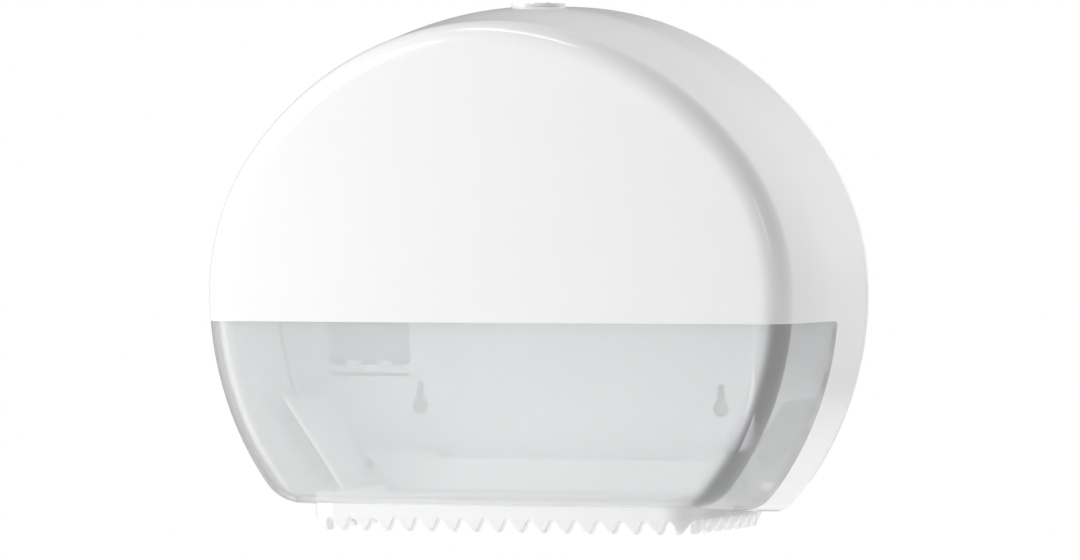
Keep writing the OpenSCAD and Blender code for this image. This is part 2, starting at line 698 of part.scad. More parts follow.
module stub_screws() {
    color("silver") for (x = stub_screw_x)
        wall_screw(x, stub_screw_h, plate_t + bracket_t, plate_t + bracket_t - near,
                   small_screw_r, small_head_r, small_head_t);
}
module stub_sleeve() {
    color("lightgray") difference() {
        bar(-stub_x, stub_h, sleeve_y, sleeve_len, sleeve_r);
        bar(-stub_x, stub_h, sleeve_y - 1, sleeve_len + 2, peg_r + running);
    }
}
module stub_retainer() {
    color("gray") end_cap(-stub_x, stub_h, sleeve_end_y, cap_over, peg_r);
}

// Strike for the lock: a foot on the plate, an arm and a hook in front of the cam
module strike_bracket() {
    color("silver") difference() {
        union() {
            block(strike_foot_x, [plate_t, plate_t + strike_t], [arm_high_h - strike_foot_h, arm_high_h]);
            block([arm_x, arm_x + arm_w], [plate_t, hook_y + strike_t], [arm_high_h - strike_t, arm_high_h]);
            block([arm_x, arm_x + arm_w], [hook_y, hook_y + strike_t], [arm_high_h - strike_t, hook_h]);
        }
        for (x = strike_screw_x)
            bar(x, strike_screw_h, plate_t - 1, strike_t + 2, small_screw_r + running);
    }
}
module strike_screws() {
    color("silver") for (x = strike_screw_x)
        wall_screw(x, strike_screw_h, plate_t + strike_t, plate_t + strike_t - near,
                   small_screw_r, small_head_r, small_head_t);
}

// Side view of the window: everything in front of the strips and between rail and seam
module window_region() {
    lower_h = window_lower_r + 1.5;
    translate([-cover_w, 0, lift(0)]) rotate([90, 0, 90]) linear_extrude(2 * cover_w)
        polygon(concat(
            [[-strip_w - window_lower_r, -1], [-cover_depth - 1, -1], [-cover_depth - 1, seam_h]],
            [for (i = [0:4]) let (a = 90 - 90 * i / 4)
                [-strip_w - window_upper_r + window_upper_r * cos(a), seam_h - window_upper_r + window_upper_r * sin(a)]],
            [for (i = [0:5]) let (a = -90 * i / 6)
                [-strip_w - window_lower_r + window_lower_r * cos(a), lower_h + window_lower_r * sin(a)]]));
}
module cover_walls() {
    difference() {
        cover_wall();
        // Outlet, which lets the cover swing down past the skirt
        block([-opening_x, opening_x], [-1, lip_y], [-1, bottom_rise + wall + 3]);
    }
}
module cover_shell() {
    color("white") difference() {
        union() {
            difference() {
                cover_walls();
                window_region();
            }
            both_sides() hinge_lug();
            upright(0, lock_y, land_h - 8, 8, land_r);
        }
        upright(0, lock_y, land_h - 9, 10, barrel_r + running);
        upright(0, lock_y, land_h, 3, lock_face_r + near);
        both_sides() cross_bar(lug_x - 1, hinge_y, hinge_h, lug_w + 2, bush_outer_r + running);
    }
}
module hinge_lug() {
    cross_bar(lug_x, hinge_y, hinge_h, lug_w, lug_r);
    block([lug_x, lug_x + lug_w], [hinge_y - lug_r, hinge_y + lug_r], [wall / 2, hinge_h]);
}
module cover_window() {
    color("lightsteelblue", 0.5) intersection() {
        cover_walls();
        window_region();
    }
}
module hinge_bushes() {
    color("ivory") both_sides() difference() {
        cross_bar(lug_x, hinge_y, hinge_h, lug_w, bush_outer_r);
        cross_bar(lug_x - 1, hinge_y, hinge_h, lug_w + 2, pin_r + running);
    }
}

module lock_housing() {
    face_t = 2.4;
    color("white") difference() {
        union() {
            upright(0, lock_y, barrel_low_h, barrel_len, barrel_r);
            upright(0, lock_y, land_h, face_t, lock_face_r);
        }
        upright(0, lock_y, barrel_low_h - 1, barrel_len + face_t + 2, key_r + running);
    }
}
module lock_nut() {
    nut_t = 3.5;
    color("silver") difference() {
        translate([0, -lock_y, lift(land_h - 8 - nut_t)]) cylinder(h = nut_t, r = land_r, $fn = 6);
        upright(0, lock_y, land_h - 9 - nut_t, nut_t + 2, barrel_r + running);
    }
}
module key_cylinder() {
    proud = 2.8;
    slot_w = 1.6;
    color("silver") difference() {
        union() {
            upright(0, lock_y, cam_high_h, land_h + proud - cam_high_h, key_r);
            upright(0, lock_y, tail_low_h, cam_t + 1, tail_r);
        }
        block([-slot_w / 2, slot_w / 2], [lock_y - key_r + 1.5, lock_y + key_r - 1.5],
              [land_h + proud - 3, land_h + proud + 1]);
        upright(0, lock_y, tail_low_h - 1, 9, small_screw_r + running);
    }
}
module lock_cam() {
    color("silver") difference() {
        union() {
            upright(0, lock_y, cam_low_h, cam_t, key_r);
            block([-cam_w / 2, cam_w / 2], [lock_y - cam_len, lock_y], [cam_low_h, cam_high_h]);
        }
        upright(0, lock_y, cam_low_h - 1, cam_t + 2, tail_r + running);
    }
}
module cam_screw() {
    color("dimgray") {
        upright(0, lock_y, tail_low_h - sharp, 7, small_screw_r);
        upright(0, lock_y, tail_low_h - small_head_t, small_head_t, tail_r + 1);
    }
}

back_plate();
outlet_frame();
tear_skirt();
skirt_screws();
frame_screws();
hinge_pins();
pin_clips();
spindle_post();
spindle_screws();
friction_washer();
hub_retainer();
stub_bracket();
stub_screws();
stub_retainer();
strike_bracket();
strike_screws();
spindle_hub();
hub_bushes();
stub_sleeve();
cover_shell();
cover_window();
hinge_bushes();
lock_housing();
lock_nut();
key_cylinder();
lock_cam();
cam_screw();
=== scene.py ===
import json
import math

import bmesh
import bpy
from mathutils import Matrix, Vector
from mathutils.bvhtree import BVHTree
from mathutils.interpolate import poly_3d_calc


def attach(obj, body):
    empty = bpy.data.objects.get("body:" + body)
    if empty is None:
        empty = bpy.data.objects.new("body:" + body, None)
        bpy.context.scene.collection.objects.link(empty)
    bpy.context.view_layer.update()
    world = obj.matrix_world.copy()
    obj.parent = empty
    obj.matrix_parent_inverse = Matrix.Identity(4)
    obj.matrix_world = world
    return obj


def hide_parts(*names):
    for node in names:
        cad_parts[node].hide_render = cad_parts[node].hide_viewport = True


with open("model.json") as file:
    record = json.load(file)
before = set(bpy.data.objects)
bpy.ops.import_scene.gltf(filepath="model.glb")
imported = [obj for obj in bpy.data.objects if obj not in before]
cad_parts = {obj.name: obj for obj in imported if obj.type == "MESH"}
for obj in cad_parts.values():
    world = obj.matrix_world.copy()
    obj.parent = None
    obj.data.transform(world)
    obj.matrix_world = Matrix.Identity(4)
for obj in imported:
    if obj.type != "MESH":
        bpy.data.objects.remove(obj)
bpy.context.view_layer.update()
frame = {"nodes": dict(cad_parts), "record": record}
nodes = frame["nodes"]
scene = bpy.context.scene

# ---------------------------------------------------------------------------
# Sizes of the cover, the skirt, the hinge and the lock, in millimetres.
# Heights are measured from the cover's bottom edge, depths from the wall.
# ---------------------------------------------------------------------------
COVER_W = 345.0
DEPTH = 121.0
CROWN_H = 271.5
WIDEST_H = 118.4
SHOULDER_TURN = 32.0
REAR_CORNER_R = 14.0
FRONT_CORNER_R = 28.0
SIDE_DRAFT = 4.5
CROWN_DROP = 3.5
BOTTOM_RISE = 6.0
FRONT_ROUND = 14.0
BOTTOM_ROUND = 6.0
BOW_R = 1720.0
WALL = 2.5
SEAM_H = 103.5
STRIP_W = 46.0
WINDOW_UPPER_R = 3.0
WINDOW_LOWER_R = 14.0
SCREW_LINE_H = 66.0
PLATE_T = 2.5
NEAR = 0.3
JOINT_GAP = 0.9
REAR_Y = PLATE_T + JOINT_GAP
DRAFT_TURN = math.degrees(math.atan2(2 * SIDE_DRAFT, DEPTH - FRONT_ROUND - STRIP_W))
ROUND_Y = DEPTH - FRONT_ROUND * (1 - math.sin(math.radians(DRAFT_TURN)))
HALF_W = COVER_W / 2
SHOULDER_X = ((HALF_W - (CROWN_H - WIDEST_H))
              / (1 + math.tan(math.radians(SHOULDER_TURN)) - 1 / math.cos(math.radians(SHOULDER_TURN))))
SHOULDER_R = HALF_W - SHOULDER_X
SKIRT_SIDE_GAP = 0.2
SKIRT_X = math.sqrt((HALF_W - SIDE_DRAFT - FRONT_CORNER_R) ** 2
                    - (WIDEST_H - BOTTOM_RISE - FRONT_CORNER_R) ** 2) - SKIRT_SIDE_GAP
SKIRT_SET_BACK = 14.5
SKIRT_Y = DEPTH - SKIRT_SET_BACK
SKIRT_T = 4.5
SKIRT_EDGE_R = 1.1
SKIRT_CORNER_R = 18.0
SKIRT_LEAN = 3.6
LEAN_FROM_H = 0.5
SKIRT_END_Y = PLATE_T + 2 * NEAR
SKIRT_TOP_H = 10.0
TIP_DROP = 8.5
TOOTH_H = 6.8
TOOTH_PITCH = 13.0
FRONT_TIPS = 8
SIDE_PITCH = 17.1
SIDE_PITCH_STEP = 1.3
SIDE_TEETH = 6
FLANGE_W = 6.5
FLANGE_SCREW_R = 1.5
FRAME_T = 2.5
SWING = 3.0
LIP_Y = SKIRT_Y + SWING
OPENING_X = SKIRT_X + SWING
HINGE_Y = 14.0
HINGE_H = 6.5
PIN_R = 2.2
BUSH_T = 1.5
RUNNING = 0.05
LUG_R = 5.2
LUG_W = 6.0
LUG_X = OPENING_X + 1
LOCK_Y = 43.0
LAND_H = CROWN_H - 0.9
LAND_R = 16.0
LOCK_FACE_R = 14.4
BARREL_R = 11.0
BOSS_L = 8.0

# Steps of the curved stretches
CORNER_STEPS = 14
SIDE_STEPS = 30
SEAM_STEPS = 5
SHOULDER_STEPS = 26
CROWN_STEPS = 34
FACE_COLUMNS = 48
STRAIGHT_RINGS = 8
DRAFT_RINGS = 18
ROUND_RINGS = 14
LUG_STEPS = 32
SKIRT_STATIONS = 860
SKIRT_WALL_STEPS = 12
SKIRT_EDGE_STEPS = 4
SKIRT_BACK_STEPS = 8


def lift(h):
    """Height in the frame, which is measured from the screw line."""
    return h - SCREW_LINE_H


# ---------------------------------------------------------------------------
# Mesh helpers
# ---------------------------------------------------------------------------
def make_object(name, points_mm, faces):
    """A mesh object from points in millimetres in the row frame."""
    mesh = bpy.data.meshes.new(name)
    mesh.from_pydata([tuple(c / 1000 for c in p) for p in points_mm], [], faces)
    mesh.update()
    obj = bpy.data.objects.new(name, mesh)
    scene.collection.objects.link(obj)
    return obj


def prism(name, outline_points, axis, start, end):
    """A flat outline of (a, b) points, pushed along an axis from start to end, in millimetres."""
    n = len(outline_points)
    place = {"x": lambda a, b, c: (c, a, b), "z": lambda a, b, c: (a, b, c)}[axis]
    points = [place(a, b, c) for c in (start, end) for a, b in outline_points]
    faces = [list(range(n)), list(range(2 * n - 1, n - 1, -1))]
    faces += [[i, n + i, n + (i + 1) % n, (i + 1) % n] for i in range(n)]
    obj = make_object(name, points, faces)
    fix_normals(obj)
    return obj


def circle_points(a, b, r, n=96):
    turns = [2 * math.pi * i / n for i in range(n)]
    return [(a + r * math.cos(turn), b + r * math.sin(turn)) for turn in turns]


def fix_normals(obj):
    bm = bmesh.new()
    bm.from_mesh(obj.data)
    bmesh.ops.recalc_face_normals(bm, faces=bm.faces)
    bm.to_mesh(obj.data)
    bm.free()
    obj.data.update()


def boolean(obj, other, operation, keep=False):
    modifier = obj.modifiers.new("cut", "BOOLEAN")
    modifier.operation = operation
    modifier.solver = "EXACT"
    modifier.object = other
    depsgraph = bpy.context.evaluated_depsgraph_get()
    result = bpy.data.meshes.new_from_object(obj.evaluated_get(depsgraph))
    obj.modifiers.clear()
    old = obj.data
    obj.data = result
    result.name = obj.name
    bpy.data.meshes.remove(old)
    if not keep:
        bpy.data.objects.remove(other)
    return obj


def shade(obj, degrees=35):
    obj.data.shade_smooth()
    obj.data.set_sharp_from_angle(angle=math.radians(degrees))
    return obj


# ---------------------------------------------------------------------------
# The cover's skin: rings of one outline, finer than the solid's own rings
# ---------------------------------------------------------------------------
def arc(x, h, r, a0, a1, steps):
    return [(x + r * math.cos(math.radians(a0 + (a1 - a0) * i / steps)),
             h + r * math.sin(math.radians(a0 + (a1 - a0) * i / steps))) for i in range(steps)]


def degrees_of(dh, dx):
    return math.degrees(math.atan2(dh, dx))


def half_outline(inset, drop, bottom, corner):
    """Right half of the outline, from the bottom up: corner, side, shoulder and crown."""
    r = HALF_W - inset
    corner_x = math.sqrt((r - corner) ** 2 - (WIDEST_H - bottom - corner) ** 2)
    turn = degrees_of(bottom + corner - WIDEST_H, corner_x)
    seam = -math.degrees(math.asin((WIDEST_H - SEAM_H) / r))
    top_h = CROWN_H - inset - drop
    sh_r = SHOULDER_R - inset - drop / 2
    sh_x = r - sh_r
    sh_rise = top_h - WIDEST_H
    c_r = (sh_x ** 2 + sh_rise ** 2 - sh_r ** 2) / (2 * (sh_rise - sh_r))
    c_h = top_h - c_r
    c_turn = degrees_of(WIDEST_H - c_h, sh_x)
    points = arc(corner_x, bottom + corner, corner, -90, turn, CORNER_STEPS)
    points += arc(0, WIDEST_H, r, turn, seam, SIDE_STEPS) + arc(0, WIDEST_H, r, seam, 0, SEAM_STEPS)
    points += arc(sh_x, WIDEST_H, sh_r, 0, c_turn, SHOULDER_STEPS)
    points += arc(0, c_h, c_r, c_turn, 90, CROWN_STEPS)
    return points



def ring_points(ring):
    """The whole outline at one depth; share is how much of the front's bow it has."""
    inset, drop, bottom, corner, y, share = ring
    half = half_outline(inset, drop, bottom, corner)
    m = FACE_COLUMNS
    flat = half + [(0.0, CROWN_H - inset - drop)] + [(-x, h) for x, h in reversed(half)]
    flat += [(half[0][0] * (1 - 2 * i / m), bottom) for i in range(m - 1, 0, -1)]
    return [(x, -y + share * x * x / (2 * BOW_R), lift(h)) for x, h in flat]


def wall_ring(skin, y):
    """Ring of the side walls at depth y: straight as far as the window's strip, then drafted."""
    t = 0.0 if y < STRIP_W else (y - STRIP_W) / (ROUND_Y - STRIP_W)
    ease = t * t * (3 - 2 * t)
    return (SIDE_DRAFT * t * t + skin, CROWN_DROP * ease,
            BOTTOM_RISE * (y - REAR_Y) / (ROUND_Y - REAR_Y) + skin,
            REAR_CORNER_R + (FRONT_CORNER_R - REAR_CORNER_R) * ease - skin, y, ease)


def round_ring(skin, turn):
    """Ring of the rounding between the side walls and the front."""
    r = FRONT_ROUND - skin
    start = math.cos(math.radians(DRAFT_TURN))
    c, s = math.cos(math.radians(turn)), math.sin(math.radians(turn))
    done = 1 - c / start
    return (SIDE_DRAFT + FRONT_ROUND * start - r * c, CROWN_DROP,
            BOTTOM_RISE + skin + (BOTTOM_ROUND - skin) * done,
            FRONT_CORNER_R - skin - (FRONT_CORNER_R - REAR_CORNER_R) * done,
            ROUND_Y - FRONT_ROUND * math.sin(math.radians(DRAFT_TURN)) + r * s, 1.0)


def skin_mesh(skin):
    """Points and faces of one open skin, facing outwards, and how many points a ring has."""
    depths = [REAR_Y + (STRIP_W - REAR_Y) * i / STRAIGHT_RINGS for i in range(STRAIGHT_RINGS)]
    depths += [STRIP_W + (ROUND_Y - STRIP_W) * i / DRAFT_RINGS for i in range(DRAFT_RINGS)]
    rings = [wall_ring(skin, y) for y in depths]
    rings += [round_ring(skin, DRAFT_TURN + (90 - DRAFT_TURN) * i / ROUND_RINGS)
              for i in range(ROUND_RINGS + 1)]
    points = []
    for ring in rings:
        points += ring_points(ring)
    m = FACE_COLUMNS
    n = len(ring_points(rings[0]))
    last = len(rings) - 1
    rows = (n - m) // 2
    edge = points[last * n:]
    for j in range(1, rows):
        for k in range(1, m):
            x = edge[j][0] * (1 - 2 * k / m)
            points.append((x, -rings[last][4] + x * x / (2 * BOW_R), edge[j][2]))

    def at(j, k):
        """Index of the point in row j and column k of the front."""
        if k == 0:
            return last * n + j
        if k == m:
            return last * n + 2 * rows - j
        if j == 0:
            return last * n + n - k
        return (last + 1) * n + (j - 1) * (m - 1) + k - 1

    faces = []
    for r in range(last):
        for i in range(n):
            a, b = r * n + i, r * n + (i + 1) % n
            faces.append((a, b, b + n, a + n))
    for j in range(rows - 1):
        for k in range(m):
            faces.append((at(j, k), at(j + 1, k), at(j + 1, k + 1), at(j, k + 1)))
    for k in range(m):
        faces.append((at(rows - 1, k), last * n + rows, at(rows - 1, k + 1)))
    return points, faces, n


outer_points, outer_faces, ring_n = skin_mesh(0.0)
inner_points, inner_faces, _ = skin_mesh(WALL)
shift = len(outer_points)
wall_faces = list(outer_faces)
wall_faces += [tuple(i + shift for i in reversed(f)) for f in inner_faces]
wall_faces += [(i, i + shift, (i + 1) % ring_n + shift, (i + 1) % ring_n) for i in range(ring_n)]
wall_object = make_object("cover_wall", outer_points + inner_points, wall_faces)
fix_normals(wall_object)


def reference(points, faces):
    """Skin to read smooth normals from: the tree, the points, the corner normals and the faces."""
    mesh = bpy.data.meshes.new("reference")
    mesh.from_pydata([tuple(c / 1000 for c in p) for p in points], [], faces)
    mesh.update()
    co = [v.co.copy() for v in mesh.vertices]
    normals = [v.normal.copy() for v in mesh.vertices]
    tree = BVHTree.FromPolygons(co, faces)
    bpy.data.meshes.remove(mesh)
    return tree, co, normals, faces


REFERENCES = [reference(outer_points, outer_faces), reference(inner_points, inner_faces)]


# A corner this near the skin, in metres, lies on it; a face turned further off it stays flat
ON_SKIN = 4e-5
CREASE_DEGREES = 40


def smooth_like_skin(obj):
    """Corners on the skin take the uncut skin's normals, so cuts leave no ripple; the rest stay flat."""
    mesh = obj.data
    mesh.shade_smooth()
    found = {}
    for v in mesh.vertices:
        best = None
        for tree, co, normals, faces in REFERENCES:
            location, _, index, distance = tree.find_nearest(v.co)
            if location is not None and distance < ON_SKIN and (best is None or distance < best[0]):
                poly = faces[index]
                weights = poly_3d_calc([co[i] for i in poly], location)
                normal = Vector((0, 0, 0))
                for w, i in zip(weights, poly):
                    normal += w * normals[i]
                best = (distance, normal.normalized())
        found[v.index] = best[1] if best else None
    limit_cos = math.cos(math.radians(CREASE_DEGREES))
    corner_normals = [Vector((0, 0, 1))] * len(mesh.loops)
    for poly in mesh.polygons:
        for loop_index in poly.loop_indices:
            skin_normal = found[mesh.loops[loop_index].vertex_index]
            n = poly.normal
            if skin_normal is not None and abs(skin_normal.dot(n)) > limit_cos:
                n = skin_normal if skin_normal.dot(n) > 0 else -skin_normal
            corner_normals[loop_index] = n
    mesh.normals_split_custom_set(corner_normals)
    return obj


def block(name, x, y, h):
    """A box from pairs of x, depth y and height h."""
    flat = [(x[0], -y[1]), (x[1], -y[1]), (x[1], -y[0]), (x[0], -y[0])]
    return prism(name, flat, "z", lift(h[0]), lift(h[1]))


outlet_cut = block("outlet_cut", (-OPENING_X, OPENING_X), (-1, LIP_Y), (-1, BOTTOM_RISE + WALL + 3))
boolean(wall_object, outlet_cut, "DIFFERENCE")

# The window: the part of the wall in front of the strips and below the seam
LOWER_TURN = 75
LOWER_RISE = 1.5


def region_arc(r, h, start, turned, steps):
    """Rounded corner of the window's edge, seen from the side."""
    turns = [math.radians(start + turned * i / steps) for i in range(steps + 1)]
    return [(-STRIP_W - r + r * math.cos(turn), lift(h + r * math.sin(turn))) for turn in turns]


region = [(-STRIP_W - WINDOW_LOWER_R, lift(-1)), (-DEPTH - 1, lift(-1)), (-DEPTH - 1, lift(SEAM_H))]
region += region_arc(WINDOW_UPPER_R, SEAM_H - WINDOW_UPPER_R, 90, -90, 8)
region += region_arc(WINDOW_LOWER_R, WINDOW_LOWER_R + LOWER_RISE, 0, -LOWER_TURN, 12)
region_object = prism("window_region", region, "x", -COVER_W, COVER_W)

window = wall_object.copy()
window.data = wall_object.data.copy()
window.name = "window"
scene.collection.objects.link(window)
boolean(window, region_object, "INTERSECT", keep=True)
boolean(wall_object, region_object, "DIFFERENCE")
shell = wall_object
shell.name = "shell"

# The hinge lugs and the lock's boss, with their bores
for side in (-1, 1):
    a, b = sorted((side * LUG_X, side * (LUG_X + LUG_W)))
    lug = [(-HINGE_Y - LUG_R, lift(WALL / 2)), (-HINGE_Y + LUG_R, lift(WALL / 2))]
    lug += [(-HINGE_Y + LUG_R * math.cos(math.pi * i / LUG_STEPS),
             lift(HINGE_H) + LUG_R * math.sin(math.pi * i / LUG_STEPS)) for i in range(LUG_STEPS + 1)]
    boolean(shell, prism("lug", lug, "x", a, b), "UNION")
    bore_circle = circle_points(-HINGE_Y, lift(HINGE_H), PIN_R + 2 * RUNNING + BUSH_T)
    boolean(shell, prism("lug_bore", bore_circle, "x", a - 1, b + 1), "DIFFERENCE")
for name, r, low, high, operation in (
        ("boss", LAND_R, LAND_H - BOSS_L, LAND_H, "UNION"),
        ("boss_bore", BARREL_R + RUNNING, LAND_H - BOSS_L - 1, LAND_H + 1, "DIFFERENCE"),
        ("seat", LOCK_FACE_R + NEAR, LAND_H, LAND_H + 3, "DIFFERENCE")):
    boolean(shell, prism(name, circle_points(0, -LOCK_Y, r), "z", lift(low), lift(high)), operation)
smooth_like_skin(shell)
smooth_like_skin(window)


# Turns in degrees round the rounding, from the side wall to the front
# How much painted shade and haze the window's side walls get, against its front rounding
SIDE_SHADE = 0.28
FULL_FROM_TURN = 6
FADE_END_TURN = 70
FADE_SPAN = 20


def depth_attribute(obj):
    """Painted shade and haze on the window: full along the front rounding, some along the side walls."""
    values = []
    for v in obj.data.vertices:
        x, y, h = v.co.x * 1000, -v.co.y * 1000, v.co.z * 1000 + SCREW_LINE_H
        bow = x * x / (2 * BOW_R)
        t = min(max((y + bow - STRIP_W) / (ROUND_Y - STRIP_W), 0), 1)
        inner = HALF_W - SIDE_DRAFT * t * t - math.hypot(x, h - WIDEST_H)
        near_side = min(max(1 - inner / FRONT_ROUND, 0), 1)
        past = min(max((y + bow - ROUND_Y) / FRONT_ROUND, 0), 1)
        turn = math.degrees(math.atan2(past, max(near_side, 1e-6)))
        if past <= 0:
            values.append(SIDE_SHADE * near_side)
        elif near_side <= 0:
            values.append(0.0)
        else:
            rise = min(turn / FULL_FROM_TURN, 1) * (1 - SIDE_SHADE) + SIDE_SHADE
            fall = min(max((FADE_END_TURN - turn) / FADE_SPAN, 0), 1)
            values.append(rise * fall)
    layer = obj.data.attributes.new("depth", "FLOAT", "POINT")
    layer.data.foreach_set("value", values)


# Marks where the window's colour is darkened as painted shade along its rounding
depth_attribute(window)

# ---------------------------------------------------------------------------
# The skirt: one wall swept along its path, leaning in below, with rounded teeth
# ---------------------------------------------------------------------------
PATH_X = SKIRT_X - SKIRT_CORNER_R
PATH_Y = SKIRT_Y - PATH_X ** 2 / (2 * BOW_R) - SKIRT_CORNER_R
ARC_END = PATH_X + SKIRT_CORNER_R * math.pi / 2
PATH_END = ARC_END + PATH_Y - SKIRT_END_Y
tips = [TOOTH_PITCH * i for i in range(FRONT_TIPS)]
tips += [PATH_X + SKIRT_CORNER_R * math.asin((TOOTH_PITCH * FRONT_TIPS - PATH_X) / SKIRT_CORNER_R),
         ARC_END]
for i in range(SIDE_TEETH):
    tips.append(tips[-1] + SIDE_PITCH - i * SIDE_PITCH_STEP)


def path_point(s, inset):
    """Point of the path at a distance s from its middle, drawn in by inset."""
    side, s = (1, s) if s >= 0 else (-1, -s)
    if s <= PATH_X:
        return side * s, inset - SKIRT_Y + s * s / (2 * BOW_R)
    if s <= ARC_END:
        turn = (s - PATH_X) / SKIRT_CORNER_R
        r = SKIRT_CORNER_R - inset
        return side * (PATH_X + r * math.sin(turn)), -PATH_Y - r * math.cos(turn)
    return side * (SKIRT_X - inset), -PATH_Y + (s - ARC_END)


def edge_h(s):
    """Height of the toothed edge."""
    s = abs(s)
    for a, b in zip(tips, tips[1:]):
        if a <= s <= b:
            wave = math.cos(2 * math.pi * ((s - a) / (b - a) - 0.5))
            return TOOTH_H / 2 - TIP_DROP + TOOTH_H / 2 * wave
    return -TIP_DROP


def lean(h):
    """How far the wall leans in at a height."""
    return SKIRT_LEAN * (max(LEAN_FROM_H - h, 0) / (LEAN_FROM_H + TIP_DROP)) ** 1.4


def skirt_section(s):
    """Closed section at s: down the outside, round the edge, up the inside and round the flange."""
    low, r = edge_h(s), SKIRT_EDGE_R
    section = []
    for i in range(SKIRT_WALL_STEPS + 1):
        h = SKIRT_TOP_H + (low + r - SKIRT_TOP_H) * i / SKIRT_WALL_STEPS
        section.append((lean(h), h))
    quarter = [math.pi / 2 * i / SKIRT_EDGE_STEPS for i in range(SKIRT_EDGE_STEPS + 1)]
    section += [(lean(low) + r * (1 - math.cos(a)), low + r * (1 - math.sin(a))) for a in quarter[1:]]
    section += [(lean(low) + SKIRT_T - r * (1 - math.sin(a)), low + r * (1 - math.cos(a)))
                for a in quarter]
    for i in range(1, SKIRT_BACK_STEPS + 1):
        h = low + r + (SKIRT_TOP_H - low - r) * i / SKIRT_BACK_STEPS
        section.append((lean(h) + SKIRT_T, h))
    return section


steps = SKIRT_STATIONS
stations = [PATH_END * (2 * i / steps - 1) for i in range(steps + 1)]
sections = [skirt_section(s) for s in stations]
row = len(sections[0])
skirt_points = [path_point(s, inset) + (lift(h),)
                for s, section in zip(stations, sections) for inset, h in section]
skirt_faces = [(r * row + i, (r + 1) * row + i, (r + 1) * row + (i + 1) % row, r * row + (i + 1) % row)
               for r in range(steps) for i in range(row)]
skirt_faces += [tuple(range(row)), tuple(range(steps * row + row - 1, steps * row - 1, -1))]
skirt = make_object("skirt", skirt_points, skirt_faces)
fix_normals(skirt)

# The flange that the skirt hangs by stops in front of the hinge
SAME_POINT = 1e-6
flange = [path_point(s, SKIRT_T / 2) for s in stations]
flange += [path_point(s, SKIRT_T + FLANGE_W) for s in reversed(stations)]
ring = []
for x, y in flange:
    p = (x, min(y, -HINGE_Y - LUG_R - 1))
    if not ring or math.dist(p, ring[-1]) > SAME_POINT:
        ring.append(p)
flange_object = prism("skirt_flange", ring, "z", lift(SKIRT_TOP_H - FRAME_T), lift(SKIRT_TOP_H - 0.01))
boolean(skirt, flange_object, "UNION")
for side in (-1, 1):
    a, b = sorted((side * PATH_X, side * (SKIRT_X + 4)))
    pin_circle = circle_points(-HINGE_Y, lift(HINGE_H), PIN_R + NEAR)
    boolean(skirt, prism("pin_hole", pin_circle, "x", a, b), "DIFFERENCE")
    for x, y in ((60, SKIRT_Y - SKIRT_T - FLANGE_W / 2 - 1), (SKIRT_X - SKIRT_T - FLANGE_W / 2, 50)):
        screw_circle = circle_points(side * x, -y, FLANGE_SCREW_R + RUNNING, 48)
        boolean(skirt, prism("screw_hole", screw_circle, "z", lift(SKIRT_TOP_H - FRAME_T - 1),
                             lift(SKIRT_TOP_H + 1)), "DIFFERENCE")
shade(skirt, 38)
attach(skirt, "base")
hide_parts("tear_skirt")

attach(shell, "cover")
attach(window, "cover")
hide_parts("cover_shell")
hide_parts("cover_window")


# ---------------------------------------------------------------------------
# Materials
# ---------------------------------------------------------------------------
PLASTIC_IOR = 1.49
GRAIN_SCALE = 900
RELIEF_M = 0.0002


def link(tree, a, b):
    tree.links.new(a, b)


def add_node(tree, kind, values=()):
    """A shader node, with its own inputs set by name."""
    made = tree.nodes.new("ShaderNode" + kind)
    for key, value in dict(values).items():
        made.inputs[key].default_value = value
    return made


def new_material(name):
    """A material and its node tree, with the plain shader that a new one has."""
    material = bpy.data.materials.new(name)
    material.use_nodes = True
    return material, material.node_tree


def surface(tree, shader, shade_noise, shade_colors, fine_noise, gloss_ends, bump):
    """Shade from one noise, gloss and relief from another or the same."""
    shades = add_node(tree, "Mix")
    shades.data_type = "RGBA"
    for socket, color in zip((6, 7), shade_colors):
        shades.inputs[socket].default_value = tuple(color) + (1,)
    link(tree, shade_noise.outputs["Fac"], shades.inputs[0])
    link(tree, shades.outputs[2], shader.inputs["Base Color"])
    gloss = add_node(tree, "MapRange", {"To Min": gloss_ends[0], "To Max": gloss_ends[1]})
    link(tree, fine_noise.outputs["Fac"], gloss.inputs["Value"])
    link(tree, gloss.outputs["Result"], shader.inputs["Roughness"])
    relief = add_node(tree, "Bump", {"Strength": bump, "Distance": RELIEF_M})
    link(tree, fine_noise.outputs["Fac"], relief.inputs["Height"])
    link(tree, relief.outputs["Normal"], shader.inputs["Normal"])


def plastic(name, color, roughness, variation=0.015, grain=0.02, bump=0.03):
    """Moulded plastic: a faint change of shade, a fine grain in the gloss and in the surface."""
    material, tree = new_material(name)
    shader = tree.nodes["Principled BSDF"]
    shader.inputs["IOR"].default_value = PLASTIC_IOR
    place = add_node(tree, "TexCoord")
    soft = add_node(tree, "TexNoise", {"Scale": 7.0, "Detail": 3.0})
    fine = add_node(tree, "TexNoise", {"Scale": GRAIN_SCALE, "Detail": 2.0})
    for noise in (soft, fine):
        link(tree, place.outputs["Object"], noise.inputs["Vector"])
    colors = [max(c - variation, 0) for c in color], [min(c + variation, 1) for c in color]
    surface(tree, shader, soft, colors, fine,
            (max(roughness - grain, 0.02), roughness + grain), bump)
    return material


def metal(name, color, roughness, scale, bump=0.05):
    """Drawn or turned metal: streaks in its shade, gloss and surface."""
    material, tree = new_material(name)
    shader = tree.nodes["Principled BSDF"]
    shader.inputs["Metallic"].default_value = 1.0
    place = add_node(tree, "TexCoord")
    stretch = add_node(tree, "Mapping", {"Scale": scale})
    link(tree, place.outputs["Object"], stretch.inputs["Vector"])
    streaks = add_node(tree, "TexNoise", {"Scale": 3.0, "Detail": 4.0})
    link(tree, stretch.outputs["Vector"], streaks.inputs["Vector"])
    colors = [c * 0.85 for c in color], [min(c * 1.1, 1) for c in color]
    surface(tree, shader, streaks, colors, streaks, (roughness * 0.8, roughness * 1.25), bump)
    return material


